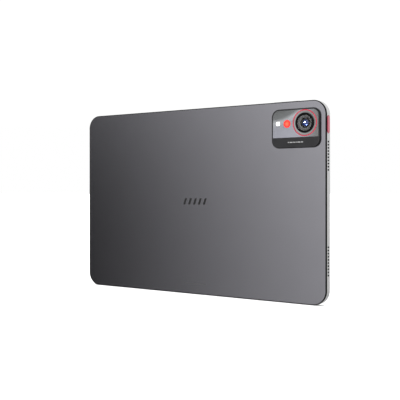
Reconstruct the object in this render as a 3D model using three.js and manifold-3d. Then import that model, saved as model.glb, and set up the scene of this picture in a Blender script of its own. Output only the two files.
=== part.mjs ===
// A tablet computer, 10.9 inch class, standing upright in landscape on its lower long edge.
//
// Millimetres, +Z up. +X runs along the long edge, to the right as seen from the rear.
// +Y runs through the thickness, from the rear cover to the screen.
// The origin is the middle of the lower edge, halfway through the slim body.

import * as THREE from "three";
import { mergeVertices } from "three/addons/utils/BufferGeometryUtils.js";
import Module from "manifold-3d";

const wasm = await Module();
wasm.setup();

// ---------- Driving dimensions ----------

const WIDTH = 253.34;
const HEIGHT = 164.56;
const THICKNESS = 7.3; // without the camera island
const CORNER = 12; // radius of the outline's corners
const WALL = 1.8; // side frame, outside to inside
const SEAM = 0.05; // glue line or parting gap between two fixed pieces
const FIT = 0.15; // gap round a key in its slot

const RIGHT = WIDTH / 2;
const MIDDLE = HEIGHT / 2;
const REAR = -THICKNESS / 2;
const SCREEN = THICKNESS / 2;

// Layers, as [low, high] in Y. Each is set by its neighbour nearer the screen.
const under = (layer, thickness, gap = SEAM) => [layer[0] - gap - thickness, layer[0] - gap];
const GLASS_Y = [SCREEN - 0.6, SCREEN];
const LCD_Y = under(GLASS_Y, 0.5);
const BACKLIGHT_Y = under(LCD_Y, 0.9);
const MID_PLATE_Y = under(BACKLIGHT_Y, 0.3);
const BATTERY_Y = under(MID_PLATE_Y, 3.45, 0.25);
const ADHESIVE_Y = under(GLASS_Y, 0.17, 0.03);
const SHELF_Y = under(ADHESIVE_Y, 0.47, 0.03);
const COVER_Y = [REAR, REAR + 0.9];
const FRAME_Y = [COVER_Y[1] + SEAM, SCREEN - 0.1];
const BOARD_Y = [-0.4, 0.4];

// Edge features. Keys, grilles, microphones and contacts share one line, this far in front of the middle.
const SIDE_LINE = 0.25;
const GRILLE = { slot: [2.8, 1.4], pitch: 2.5, count: 10, z: { lower: 35.5, upper: 119.6 } };
const MICROPHONES = { x: [-36, 36], radius: 0.5 };
const POWER = { z: 144.65, length: 14.2 };
const VOLUME = { x: 90, length: 24, pinOffset: 7.5 };
const KEY = { width: 4.2, proud: 0.45, travel: 0.3, pinTip: WALL + 1.3, flange: 0.6 };
const SWITCH = { length: 4.4, width: 2.8, depth: 1.5, dome: 1.1, rise: 0.35, film: 0.2 };
const USB = { z: MIDDLE, y: -0.5, width: 8.94, height: 3.26, depth: 7.3, slot: 0.3, sheet: 0.35 };
const POGO = { pitch: 4.5, radius: 1.1, width: 16, height: 3.2, flange: [19, 3.9], depth: WALL + 0.9 };

// Depths below the tablet's outer face: each key's switch, then the film behind it.
const SWITCH_FRONT = KEY.pinTip + KEY.travel + SEAM;
const FILM_FRONT = SWITCH_FRONT + SWITCH.depth + SEAM;
const FILM_BACK = FILM_FRONT + SWITCH.film;

// Display. Insets are from the tablet's outline.
const DISPLAY = { lcd: [239, 151], backlight: [240, 152], glassInset: 1.25, pocketInset: 1.1, shelfInset: 3 };
const DISPLAY_FLEX = { z: [66, 90], thickness: 0.12, fold: 1.6, end: 92 };

// Mid plate: where the boards are screwed to it, and where it is welded to the frame.
const PLATE_GAP = WALL + 0.5; // from the tablet's outline
const LUG = { x: [-62, 28], length: 9, thickness: 0.5, reach: [WALL - 0.4, WALL + 3] };
const SCREWS = [new THREE.Vector2(70, 20), new THREE.Vector2(96, 60), new THREE.Vector2(70, 153)];
const SCREW = { shank: 0.7, thread: 0.8, clearance: 0.9, head: 1.5, headHeight: 0.5, boss: 2.1 };
const ANTENNA = { left: -88, right: 56, length: 26, height: 3.2, fromTop: WALL + 4.4 };

// Camera island on the rear cover.
const ISLAND = { x: [78.4, 122], z: [126.4, 158.4], radius: 6.5, height: 2, round: 1 };
const ISLAND_Y = [REAR - ISLAND.height, COVER_Y[1]]; // it fills an opening in the cover
const LEDGE = REAR - SEAM; // what the island's bezel and flash window sit on
const BAND_TOP = 134.9; // the plain band below the glossy plate ends here
const PLATE_INSET = 1.25;
const PLATE_Y = [ISLAND_Y[0] + 0.03, ISLAND_Y[0] + 0.63];
const FLASH = { x: 84.5, z: 146.6, size: 3.4, radius: 0.7, led: 2.4, bay: 1.9 };
const MARKER = { x: 92.8, z: 146.2, radius: 3.2, proud: 0.12, bevel: 0.25 };

// Rear camera. Radii are about the optical axis.
const LENS = { x: 108.75, z: 146.4 };
const ACCENT = { inner: 9.9, outer: 10.75, proud: 0.14 };
const BEZEL = { inner: 6.5, outer: 8.15, proud: 0.9 };
const WINDOW = { radius: 6.4, sunk: 0.3, thickness: 0.5 };
const BARREL = { radius: 3.9, front: -4.6, back: -1, cone: [3.1, 2.7], sunk: 0.6 };
const FRONT_LENS = { radius: 2.55, proud: 0.1 };
const MOTOR = { side: 12.6, radius: 1.5, bore: 4.3, back: -0.2 };
const SENSOR = { side: 5.6, board: [-0.15, 0.65], front: -0.55 };
const CAMERA_FLEX = { x: [-18.5, -6.4], width: 7, thickness: 0.15 };

// Front camera, behind the glass at the middle of the top edge.
const FRONT_CAMERA = { z: 160, radius: 1.45, width: 6.4, bodyZ: [156, 162.4], bodyY: [-1.6, 0.9] };

// Speakers. Depths are from the nearer short side.
const SPEAKER = { depth: [2.25, 23.5], length: 33, pocket: [5.5, 20.5], pocketLength: 25, corner: 6 };
const GAUZE = { depth: [WALL + 0.1, WALL + 0.3], width: 3.4, length: 27 };

// Battery and boards.
const CELL = { left: -96, width: 78, gap: 2, z: [14, 138], round: 0.8 };
const BATTERY_STRIP = { height: 6, y: [-0.7, 0.6], tail: 10 };
const MAIN_BOARD = { x: [66, 100], z: [16, 157], corner: 1.5, cameraBay: [124, 160] };
const SHIELDS = {
  processor: { x: [68, 98], z: [102, 136], height: 1.5 },
  power: { x: [68, 94], z: [26, 56], height: 1.4 },
};
const USB_BOARD = { length: 13, height: 36, rest: 12, restX: -108 };
const LINK_FLEX = { thickness: 0.1, height: 12, clear: 0.12 };

// ---------- Materials ----------

const paint = (color, roughness, metalness = 0) => () =>
  new THREE.MeshStandardMaterial({ color, roughness, metalness });
const coverMetal = paint(0x6f6e73, 0.42, 0.9);
const frameMetal = paint(0xb4b5b9, 0.32, 0.9);
const darkMetal = paint(0x2b2b2f, 0.4, 0.9);
const steel = paint(0xa9abad, 0.35, 0.9);
const redMetal = paint(0xb3293f, 0.35, 0.6);
const redGloss = paint(0xe8392c, 0.3);
const blackGlass = paint(0x0a0b0d, 0.06);
const clearGlass = paint(0x59606a, 0.03);
const tintedPlate = paint(0x5b5f68, 0.12, 0.3);
const blackPlastic = paint(0x17181a, 0.6);
const whitePlastic = paint(0xf4f2ea, 0.35);
const foil = paint(0x2a2b2e, 0.45, 0.2);
const boardGreen = paint(0x123b2b, 0.5);
const flexAmber = paint(0x9a5a1e, 0.45);
const meshFabric = paint(0x0d0d0e, 0.9);
const gold = paint(0xc9a24a, 0.3, 0.9);

// ---------- Solids ----------

const QUARTER = Math.PI / 2;
const FAR = 600; // longer than the tablet in any direction
const PAST = 1; // how far a cutting tool runs past the face that it opens

// Turns that carry a prism drawn in (u, v) and pushed along w onto an axis of the tablet.
const ONTO = {
  x: new THREE.Matrix4().set(0, 0, 1, 0, 1, 0, 0, 0, 0, 1, 0, 0, 0, 0, 0, 1), // outline in (y, z)
  y: new THREE.Matrix4().set(1, 0, 0, 0, 0, 0, -1, 0, 0, 1, 0, 0, 0, 0, 0, 1), // outline in (x, z)
  z: new THREE.Matrix4(), // outline in (x, y)
};

// A closed mesh as a solid that can be joined and cut.
function solid(geometry) {
  const bare = geometry.clone();
  bare.deleteAttribute("normal");
  bare.deleteAttribute("uv");
  const merged = mergeVertices(bare, 1e-4);
  return new wasm.Manifold(
    new wasm.Mesh({
      numProp: 3,
      vertProperties: merged.attributes.position.array,
      triVerts: new Uint32Array(merged.index.array),
    }),
  );
}

function geometryOf(made) {
  const { numProp, numVert, vertProperties, triVerts } = made.getMesh();
  const positions = new Float32Array(numVert * 3);
  for (let i = 0; i < numVert; i++) {
    positions.set(vertProperties.subarray(i * numProp, i * numProp + 3), i * 3);
  }
  const geometry = new THREE.BufferGeometry();
  geometry.setAttribute("position", new THREE.BufferAttribute(positions, 3));
  geometry.setIndex(new THREE.BufferAttribute(triVerts, 1));
  geometry.computeVertexNormals();
  return geometry;
}

const join = (...solids) => solids.flat().reduce((a, b) => a.add(b));
const cut = (from, ...tools) => tools.flat().reduce((a, b) => a.subtract(b), from);

function box(x, y, z) {
  const geometry = new THREE.BoxGeometry(x[1] - x[0], y[1] - y[0], z[1] - z[0]);
  return solid(geometry.translate((x[0] + x[1]) / 2, (y[0] + y[1]) / 2, (z[0] + z[1]) / 2));
}

const span = (middle, length) => [middle - length / 2, middle + length / 2];

// A rectangle's outline, anticlockwise from its lower left corner. radius is one number or four.
function rectangle(u, v, radius = 0, steps = 6) {
  const radii = Array.isArray(radius) ? radius : [radius, radius, radius, radius];
  const corners = [
    [u[0], v[0], 1, 1],
    [u[1], v[0], -1, 1],
    [u[1], v[1], -1, -1],
    [u[0], v[1], 1, -1],
  ];
  const points = corners.flatMap(([cu, cv, su, sv], i) => {
    const r = radii[i];
    if (r === 0) return [new THREE.Vector2(cu, cv)];
    const turn = (k) => Math.PI + (i + k / steps) * QUARTER;
    return Array.from(
      { length: steps + 1 },
      (_, k) => new THREE.Vector2(cu + r * (su + Math.cos(turn(k))), cv + r * (sv + Math.sin(turn(k)))),
    );
  });
  return points.filter((p, i) => p.distanceTo(points[(i + 1) % points.length]) > 1e-6);
}

const disc = (u, v, radius, steps = 32) =>
  Array.from({ length: steps }, (_, k) => {
    const angle = (k / steps) * 2 * Math.PI;
    return new THREE.Vector2(u + radius * Math.cos(angle), v + radius * Math.sin(angle));
  });

// The tablet's own outline in (x, z), moved inwards by inset.
const outline = (inset) =>
  rectangle([inset - RIGHT, RIGHT - inset], [inset, HEIGHT - inset], CORNER - inset, 10);

// An outline pushed along an axis from one station to another. round is the radius of its end edges,
// and ends says which of the two ends has it.
function prism(axis, points, from, to, { round = 0, steps = 3, ends = [true, true] } = {}) {
  const reversed = axis === "y"; // the turn onto Y reverses the direction of travel
  const [a, b] = reversed ? [-to, -from] : [from, to];
  const rounded = reversed ? [ends[1], ends[0]] : ends;
  const spare = rounded.map((r) => (r ? 0 : 2 * round));
  const geometry = new THREE.ExtrudeGeometry(new THREE.Shape(points), {
    depth: b - a + spare[0] + spare[1] - 2 * round,
    bevelEnabled: round > 0,
    bevelThickness: round,
    bevelSize: round,
    bevelOffset: -round,
    bevelSegments: steps,
    curveSegments: 1,
  });
  let made = solid(geometry.translate(0, 0, a - spare[0] + round));
  if (spare[0] > 0) made = cut(made, box([-FAR, FAR], [-FAR, FAR], [a - FAR, a]));
  if (spare[1] > 0) made = cut(made, box([-FAR, FAR], [-FAR, FAR], [b, b + FAR]));
  return solid(geometryOf(made).applyMatrix4(ONTO[axis]));
}

// A body of revolution about Y from a profile of [radius, y] points.
function turned(profile, segments = 40) {
  const points = profile.map(([r, y]) => new THREE.Vector2(r, y));
  return solid(new THREE.LatheGeometry(points, segments));
}

// The same with a closed ring section.
const ring = (profile, segments) => turned([...profile, profile[0]], segments);

// A thin ribbon that follows a path in (x, y) and is as tall as z says.
function ribbon(path, thickness, z) {
  const at = path.map(([x, y]) => new THREE.Vector2(x, y));
  const side = (sign) =>
    at.map((p, i) => {
      const along = (j) => at[j + 1].clone().sub(at[j]).normalize();
      const before = along(Math.max(i - 1, 0));
      const after = along(Math.min(i, at.length - 2));
      const normal = (d) => new THREE.Vector2(-d.y, d.x);
      const mitre = normal(before).add(normal(after)).normalize();
      const reach = thickness / 2 / mitre.dot(normal(before));
      return p.clone().addScaledVector(mitre, sign * reach);
    });
  return prism("z", [...side(-1), ...side(1).reverse()], z[0], z[1]);
}

const tablet = new THREE.Group();

function add(name, made, material, parent = tablet) {
  const mesh = new THREE.Mesh(made.isBufferGeometry ? made : geometryOf(made), material());
  mesh.name = name;
  parent.add(mesh);
  return mesh;
}

function groupAt(x, y, z, parent = tablet) {
  const group = new THREE.Group();
  group.position.set(x, y, z);
  parent.add(group);
  return group;
}

// ---------- Casing ----------

// Ten short slots across the side, which let one speaker out.
function grille(side, z) {
  const through = side > 0 ? [RIGHT - WALL - PAST, RIGHT + PAST] : [-RIGHT - PAST, PAST + WALL - RIGHT];
  const [length, width] = GRILLE.slot;
  return Array.from({ length: GRILLE.count }, (_, i) => {
    const middle = z + (i - (GRILLE.count - 1) / 2) * GRILLE.pitch;
    const slot = rectangle(span(SIDE_LINE, length), span(middle, width), width / 2 - 0.01, 3);
    return prism("x", slot, ...through);
  });
}

// Flat lugs inside the frame that the mid plate is welded to.
function lugs() {
  const y = under(MID_PLATE_Y, LUG.thickness);
  const [near, far] = LUG.reach;
  return LUG.x.flatMap((x) => [
    box(span(x, LUG.length), y, [near, far]),
    box(span(x, LUG.length), y, [HEIGHT - far, HEIGHT - near]),
  ]);
}

// Openings through the frame's wall, each named for the side that it is in.
const throughRight = (points) => prism("x", points, RIGHT - WALL - PAST, RIGHT + PAST);
const throughLeft = (points) => prism("x", points, -RIGHT - PAST, PAST + WALL - RIGHT);
const throughTop = (points) => prism("z", points, HEIGHT - WALL - PAST, HEIGHT + PAST);
const throughBottom = (points) => prism("z", points, -PAST, WALL + PAST);

function sideFrame() {
  const outer = prism("y", outline(0), ...FRAME_Y, { round: 0.3, steps: 1, ends: [false, true] });
  const pocket = prism("y", outline(DISPLAY.pocketInset), SHELF_Y[1], SCREEN + PAST);
  const opening = prism("y", outline(DISPLAY.shelfInset), SHELF_Y[0] - PAST, SCREEN);
  const cavity = prism("y", outline(WALL), REAR - PAST, SHELF_Y[0]);
  const hollow = join(cut(outer, pocket, opening, cavity), lugs());
  const slotWidth = span(SIDE_LINE, KEY.width + 2 * FIT);
  const slotRadius = KEY.width / 2;
  const openings = [
    throughRight(rectangle(slotWidth, span(POWER.z, POWER.length + 2 * FIT), slotRadius)),
    throughTop(rectangle(span(VOLUME.x, VOLUME.length + 2 * FIT), slotWidth, slotRadius)),
    throughLeft(rectangle(span(USB.y, USB.height + USB.slot), span(USB.z, USB.width + USB.slot), 1.7)),
    throughBottom(rectangle(span(0, POGO.width + 0.2), span(SIDE_LINE, POGO.height + 0.2), 1.5)),
    ...MICROPHONES.x.map((x) => throughTop(disc(x, SIDE_LINE, MICROPHONES.radius, 10))),
    ...[1, -1].flatMap((side) => Object.values(GRILLE.z).flatMap((z) => grille(side, z))),
  ];
  add("side_frame", cut(hollow, openings), frameMetal);
}

function rearCover() {
  const plate = prism("y", outline(0), ...COVER_Y, { round: 0.8, steps: 4, ends: [true, false] });
  const grow = ([low, high]) => [low - SEAM, high + SEAM];
  const opening = prism("y", rectangle(grow(ISLAND.x), grow(ISLAND.z), ISLAND.radius + SEAM), REAR - 1, 0);
  add("rear_cover", cut(plate, opening), coverMetal);
}

// ---------- Display ----------

function display() {
  const centred = ([width, height], radius) => rectangle(span(0, width), span(MIDDLE, height), radius);
  const crown = { round: 0.25, steps: 2, ends: [false, true] };
  add("cover_glass", prism("y", outline(DISPLAY.glassInset), ...GLASS_Y, crown), blackGlass);
  add("lcd_panel", prism("y", centred(DISPLAY.lcd, 0.5), ...LCD_Y), blackGlass);
  add("backlight_unit", prism("y", centred(DISPLAY.backlight, 1), ...BACKLIGHT_Y), steel);
  const adhesive = cut(
    prism("y", outline(DISPLAY.glassInset + 0.2), ...ADHESIVE_Y),
    prism("y", outline(DISPLAY.shelfInset), REAR, SCREEN),
  );
  add("display_adhesive", adhesive, blackPlastic);
  // From the panel's edge round the backlight, then back under the mid plate to the board.
  const edge = DISPLAY.lcd[0] / 2;
  const start = (LCD_Y[0] + LCD_Y[1]) / 2;
  const end = BOARD_Y[1] + 0.22;
  const path = [
    [edge + 0.2, start],
    [edge + DISPLAY_FLEX.fold, start],
    [edge + DISPLAY_FLEX.fold, end],
    [DISPLAY_FLEX.end, end],
  ];
  add("display_flex", ribbon(path, DISPLAY_FLEX.thickness, DISPLAY_FLEX.z), flexAmber);
}

// ---------- Inner frame, screws and antennas ----------

function midPlate() {
  const [low, high] = MID_PLATE_Y;
  const depth = [low - PAST, high + PAST];
  const openings = [
    box([120.2, 122], depth, [DISPLAY_FLEX.z[0] - 2, DISPLAY_FLEX.z[1] + 2]),
    box(span(0, 4.8), depth, [FRONT_CAMERA.z - 2.4, HEIGHT]),
    box([RIGHT - FILM_BACK, RIGHT], depth, span(POWER.z, POWER.length + 5.2)),
    box(span(VOLUME.x, VOLUME.length + 5), depth, [HEIGHT - FILM_BACK, HEIGHT]),
    box(span(0, POGO.flange[0] + 3), depth, [0, POGO.depth + 1.8]),
  ];
  const post = (x, z) => prism("y", disc(x, z, SCREW.boss, 16), BOARD_Y[1] + SEAM, low);
  const bosses = SCREWS.map((at) => post(at.x, at.y));
  const threads = SCREWS.map((at) => prism("y", disc(at.x, at.y, SCREW.thread, 12), 0, low - SEAM));
  const rests = [-1, 1].map((side) => post(USB_BOARD.restX, USB.z + side * USB_BOARD.rest));
  // Bent tabs that back up the switches.
  const tabY = [-1.2, low];
  const tabDepth = [FILM_BACK + SEAM, FILM_BACK + 0.55];
  const powerTab = box([RIGHT - tabDepth[1], RIGHT - tabDepth[0]], tabY, span(POWER.z, 9));
  const volumeTab = box(span(VOLUME.x, 22), tabY, [HEIGHT - tabDepth[1], HEIGHT - tabDepth[0]]);
  const sheet = cut(prism("y", outline(PLATE_GAP), low, high), openings);
  add("mid_plate", cut(join(sheet, bosses, rests, powerTab, volumeTab), threads), steel);
}

function boardScrews() {
  const under = BOARD_Y[0] - SEAM;
  const bevel = 0.2;
  const tip = MID_PLATE_Y[0] - 0.1;
  const screw = turned(
    [
      [0, under - SCREW.headHeight],
      [SCREW.head - bevel, under - SCREW.headHeight],
      [SCREW.head, under - SCREW.headHeight + bevel],
      [SCREW.head, under],
      [SCREW.shank, under],
      [SCREW.shank, tip],
      [0, tip],
    ],
    16,
  );
  SCREWS.forEach((at, i) => {
    add(`board_screw_${i + 1}`, screw, steel).position.set(at.x, 0, at.y);
  });
}

// Film antennas on plastic carriers. They radiate through the black border of the glass.
function antennas() {
  const y = [-1.6, MID_PLATE_Y[0] - 0.2];
  const carrier = box(span(0, ANTENNA.length), y, [0, ANTENNA.height]);
  const relief = box(span(0, ANTENNA.length - 6), [y[0] - PAST, y[0] + 0.7], [0.9, ANTENNA.height - 0.9]);
  for (const side of ["left", "right"]) {
    const place = groupAt(ANTENNA[side], 0, HEIGHT - ANTENNA.fromTop);
    add(`wifi_antenna_${side}`, cut(carrier, relief), blackPlastic, place);
  }
}

// ---------- Rear camera ----------

function cameraIsland() {
  const [low, high] = ISLAND_Y;
  const block = prism("y", rectangle(ISLAND.x, ISLAND.z, ISLAND.radius), low, high, {
    round: ISLAND.round,
    ends: [true, false],
  });
  // The plate has round corners at the top and square ones on the band.
  const plateOutline = (gap) => {
    const inset = PLATE_INSET + gap;
    const radius = ISLAND.radius - inset;
    const x = [ISLAND.x[0] + inset, ISLAND.x[1] - inset];
    return rectangle(x, [BAND_TOP + gap, ISLAND.z[1] - inset], [0, 0, radius, radius]);
  };
  const toLedge = (points) => prism("y", points, low - PAST, LEDGE + SEAM);
  const bay = (points) => prism("y", points, LEDGE, 0);
  const square = (at, side, radius) => rectangle(span(at.x, side), span(at.z, side), radius, 4);
  const flashHole = toLedge(square(FLASH, FLASH.size + 0.2, FLASH.radius + 0.1));
  const lensHole = toLedge(disc(LENS.x, LENS.z, BEZEL.outer + 0.1, 40));
  const pocket = prism("y", plateOutline(0), low - PAST, PLATE_Y[1] + 0.04);
  const motorBay = bay(square(LENS, MOTOR.side + 1, MOTOR.radius + 0.2));
  const lampBay = bay(disc(FLASH.x, FLASH.z, FLASH.bay, 20));
  add("camera_trim", cut(block, pocket, flashHole, lensHole, motorBay, lampBay), darkMetal);

  const markerHole = prism("y", disc(MARKER.x, MARKER.z, MARKER.radius + SEAM), low - PAST, high);
  const plate = prism("y", plateOutline(SEAM), ...PLATE_Y);
  add("camera_plate", cut(plate, flashHole, lensHole, markerHole), tintedPlate);

  const top = PLATE_Y[0];
  const marker = turned([
    [0, top - MARKER.proud],
    [MARKER.radius - MARKER.bevel, top - MARKER.proud],
    [MARKER.radius, top],
    [MARKER.radius, PLATE_Y[1]],
    [0, PLATE_Y[1]],
  ]);
  add("red_marker", marker, redGloss, groupAt(MARKER.x, 0, MARKER.z));

  const window = prism("y", square(FLASH, FLASH.size, FLASH.radius), top, LEDGE);
  add("flash_window", window, whitePlastic);
  const led = box(span(FLASH.x, FLASH.led), [LEDGE + 0.15, COVER_Y[1] + 0.3], span(FLASH.z, FLASH.led));
  add("flash_led", led, whitePlastic);
}

// Everything round the optical axis, in a group whose Y axis is that axis.
function rearCamera() {
  const camera = groupAt(LENS.x, 0, LENS.z);
  const face = PLATE_Y[0];
  const flush = face - 0.02;
  const accent = ring(
    [
      [ACCENT.inner, flush],
      [ACCENT.inner + 0.1, face - ACCENT.proud],
      [ACCENT.outer - 0.12, face - ACCENT.proud],
      [ACCENT.outer, flush],
    ],
    56,
  );
  add("accent_ring", accent, redMetal, camera);

  const rim = face - BEZEL.proud;
  const bezel = ring(
    [
      [BEZEL.inner, LEDGE],
      [BEZEL.inner, rim + 0.45],
      [BEZEL.inner + 0.35, rim],
      [BEZEL.outer - 0.3, rim],
      [BEZEL.outer, rim + 0.25],
      [BEZEL.outer, LEDGE],
    ],
    48,
  );
  add("lens_bezel", bezel, darkMetal, camera);

  const windowY = [rim + WINDOW.sunk, rim + WINDOW.sunk + WINDOW.thickness];
  add("lens_window", prism("y", disc(0, 0, WINDOW.radius, 40), ...windowY), clearGlass, camera);

  // Stepped rings run down from under the window to the barrel.
  const top = windowY[1] + SEAM;
  const shroud = ring([
    [WINDOW.radius, top],
    [WINDOW.radius, REAR - 0.4],
    [MOTOR.bore, REAR - 0.4],
    [MOTOR.bore, top + 0.7],
    [MOTOR.bore + 0.7, top + 0.55],
    [MOTOR.bore + 0.8, top + 0.3],
    [MOTOR.bore + 1.5, top + 0.2],
    [MOTOR.bore + 1.7, top],
  ]);
  add("lens_shroud", shroud, darkMetal, camera);
  lensCarriage(camera);

  const motor = cut(
    prism("y", rectangle(span(0, MOTOR.side), span(0, MOTOR.side), MOTOR.radius, 3), LEDGE + 0.1, MOTOR.back),
    prism("y", disc(0, 0, MOTOR.bore), REAR - PAST, PAST),
  );
  add("focus_motor", motor, darkMetal, camera);
  const sensor = join(
    box(span(0, MOTOR.side), SENSOR.board, span(0, MOTOR.side)),
    box(span(0, SENSOR.side), [SENSOR.front, SENSOR.board[0] + SEAM], span(0, SENSOR.side)),
  );
  add("sensor_board", sensor, boardGreen, camera);
  const flexY = [BOARD_Y[1] + SEAM, BOARD_Y[1] + SEAM + CAMERA_FLEX.thickness];
  add("camera_flex", box(CAMERA_FLEX.x, flexY, span(0, CAMERA_FLEX.width)), flexAmber, camera);
}

// The carriage that the focus motor moves: the barrel, and the front lens in its dish.
function lensCarriage(camera) {
  const dish = BARREL.front + BARREL.sunk;
  const barrel = turned([
    [0, dish],
    [BARREL.cone[1], dish],
    [BARREL.cone[0], BARREL.front],
    [BARREL.radius, BARREL.front],
    [BARREL.radius, BARREL.back],
    [0, BARREL.back],
  ]);
  add("lens_barrel", barrel, blackPlastic, camera);
  const crown = BARREL.front + FRONT_LENS.proud;
  const edge = crown + 0.4;
  const back = dish - 0.03;
  const lens = turned(
    [
      [0, crown],
      [FRONT_LENS.radius * 0.4, crown + 0.06],
      [FRONT_LENS.radius * 0.8, crown + 0.24],
      [FRONT_LENS.radius, edge],
      [FRONT_LENS.radius, back],
      [0, back],
    ],
    32,
  );
  add("front_lens", lens, clearGlass, camera);
}

function frontCamera() {
  const body = box(span(0, FRONT_CAMERA.width), FRONT_CAMERA.bodyY, FRONT_CAMERA.bodyZ);
  const from = FRONT_CAMERA.bodyY[1] - 0.4;
  const barrel = prism("y", disc(0, FRONT_CAMERA.z, FRONT_CAMERA.radius, 20), from, GLASS_Y[0] - 0.1);
  add("front_camera", join(body, barrel), blackPlastic);
}

// ---------- Keys ----------

// A key lies along its local X and is pressed along its local -Z, with Z at 0 on the tablet's outer face.
// A flange behind the wall keeps it in, and pins reach towards the switches. play is the flange's gap.
function keyCap(length, play, pins) {
  const inside = -WALL - play;
  const flangeBack = inside - KEY.flange;
  const width = span(SIDE_LINE, KEY.width);
  const crown = { round: 0.35, ends: [false, true] };
  const capOutline = rectangle(span(0, length), width, KEY.width / 2 - 0.1);
  const cap = prism("z", capOutline, inside - 0.1, KEY.proud, crown);
  const flange = prism("z", rectangle(span(0, length + 2.4), width, 0.6), flangeBack, inside);
  const feet = pins.map((x) => prism("z", disc(x, SIDE_LINE, 0.8, 16), -KEY.pinTip, flangeBack + 0.1));
  return join(cap, flange, feet);
}

// A dome switch with its dome towards the key.
function domeSwitch() {
  const front = -SWITCH_FRONT;
  const bodyZ = [front - SWITCH.depth, front - SWITCH.rise];
  const body = box(span(0, SWITCH.length), span(SIDE_LINE, SWITCH.width), bodyZ);
  const dome = prism("z", disc(0, SIDE_LINE, SWITCH.dome, 16), bodyZ[1] - 0.15, front);
  return join(body, dome);
}

// One film carries the three switches round the tablet's corner.
function keyFilm() {
  const corner = CORNER + 4;
  const steps = 8;
  const bend = (depth) =>
    Array.from({ length: steps + 1 }, (_, k) => {
      const angle = QUARTER * (1 - k / steps);
      const radius = corner - depth;
      const centre = new THREE.Vector2(RIGHT - corner, HEIGHT - corner);
      return centre.add(new THREE.Vector2(radius * Math.cos(angle), radius * Math.sin(angle)));
    });
  const start = VOLUME.x - VOLUME.pinOffset - 3.5;
  const end = POWER.z - 4;
  const path = [
    new THREE.Vector2(start, HEIGHT - FILM_FRONT),
    ...bend(FILM_FRONT),
    new THREE.Vector2(RIGHT - FILM_FRONT, end),
    new THREE.Vector2(RIGHT - FILM_BACK, end),
    ...bend(FILM_BACK).reverse(),
    new THREE.Vector2(start, HEIGHT - FILM_BACK),
  ];
  return prism("y", path, SIDE_LINE - 1.2, SIDE_LINE + 0.9);
}

function keys() {
  // Turning the cap about Y lays its length down the short side and its crown towards +X.
  const power = groupAt(RIGHT, 0, POWER.z);
  power.rotation.y = QUARTER;
  add("power_button", keyCap(POWER.length, 0.1, [0]), redMetal, power);
  add("power_switch", domeSwitch(), steel, power);

  // The rocker has more play than its tilt needs.
  const volume = groupAt(VOLUME.x, 0, HEIGHT);
  const pins = [-VOLUME.pinOffset, VOLUME.pinOffset];
  add("volume_rocker", keyCap(VOLUME.length, 0.4, pins), frameMetal, volume);
  add("volume_switch_down", domeSwitch(), steel, volume).position.x = pins[0];
  add("volume_switch_up", domeSwitch(), steel, volume).position.x = pins[1];
  add("key_flex", keyFilm(), flexAmber);
}

// ---------- Speakers ----------

// One speaker for each grille. side is +1 on the right and -1 on the left.
function speaker(name, side, z) {
  const reach = ([a, b]) => (side > 0 ? [RIGHT - b, RIGHT - a] : [a - RIGHT, b - RIGHT]);
  const group = groupAt(0, 0, z);
  const top = MID_PLATE_Y[0] - 0.2;
  const within = ([a, b], margin) => [a + margin, b - margin];
  const stadium = (margin) =>
    rectangle(
      within(reach(SPEAKER.pocket), margin),
      span(0, SPEAKER.pocketLength - 2 * margin),
      SPEAKER.corner - margin,
      5,
    );
  const casing = box(reach(SPEAKER.depth), [COVER_Y[1] + 0.15, top], span(0, SPEAKER.length));
  const pocket = prism("y", stadium(0), -0.6, top + PAST);
  const duct = box(reach([1, 6]), [-0.55, top + PAST], span(0, SPEAKER.pocketLength));
  const throat = box(reach([1, 9]), [-0.55, top + PAST], span(0, SPEAKER.pocketLength - 1));
  add(`speaker_box_${name}`, cut(casing, pocket, throat, duct), blackPlastic, group);

  const surround = prism("y", stadium(0.3), -0.1, 0.1);
  const dome = prism("y", stadium(2.3), -0.05, 0.4, { round: 0.2, steps: 2, ends: [false, true] });
  add(`speaker_cone_${name}`, join(surround, dome), foil, group);

  const gauze = box(reach(GAUZE.depth), span(SIDE_LINE, GAUZE.width), span(0, GAUZE.length));
  add(`speaker_mesh_${name}`, gauze, meshFabric, group);
}

function speakers() {
  for (const [side, sideName] of [[1, "right"], [-1, "left"]]) {
    for (const [height, z] of Object.entries(GRILLE.z)) {
      speaker(`${height}_${sideName}`, side, z);
    }
  }
}

// ---------- Battery and boards ----------

function battery() {
  const [bottom, top] = CELL.z;
  const cell = prism("y", rectangle([0, CELL.width], [0, top - bottom], 2, 3), ...BATTERY_Y, {
    round: CELL.round,
    steps: 2,
  });
  [0, 1].forEach((i) => {
    const place = groupAt(CELL.left + i * (CELL.width + CELL.gap), 0, bottom);
    add(`battery_cell_${i + 1}`, cell, foil, place);
  });
  const right = CELL.left + 2 * CELL.width + CELL.gap;
  const stripZ = [top + SEAM, top + BATTERY_STRIP.height];
  const strip = box([CELL.left, right], BATTERY_STRIP.y, stripZ);
  const tail = box([right - 1, right + BATTERY_STRIP.tail], [-0.68, -0.5], [top + 1, top + 5]);
  add("battery_board", join(strip, tail), boardGreen);
}

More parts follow.
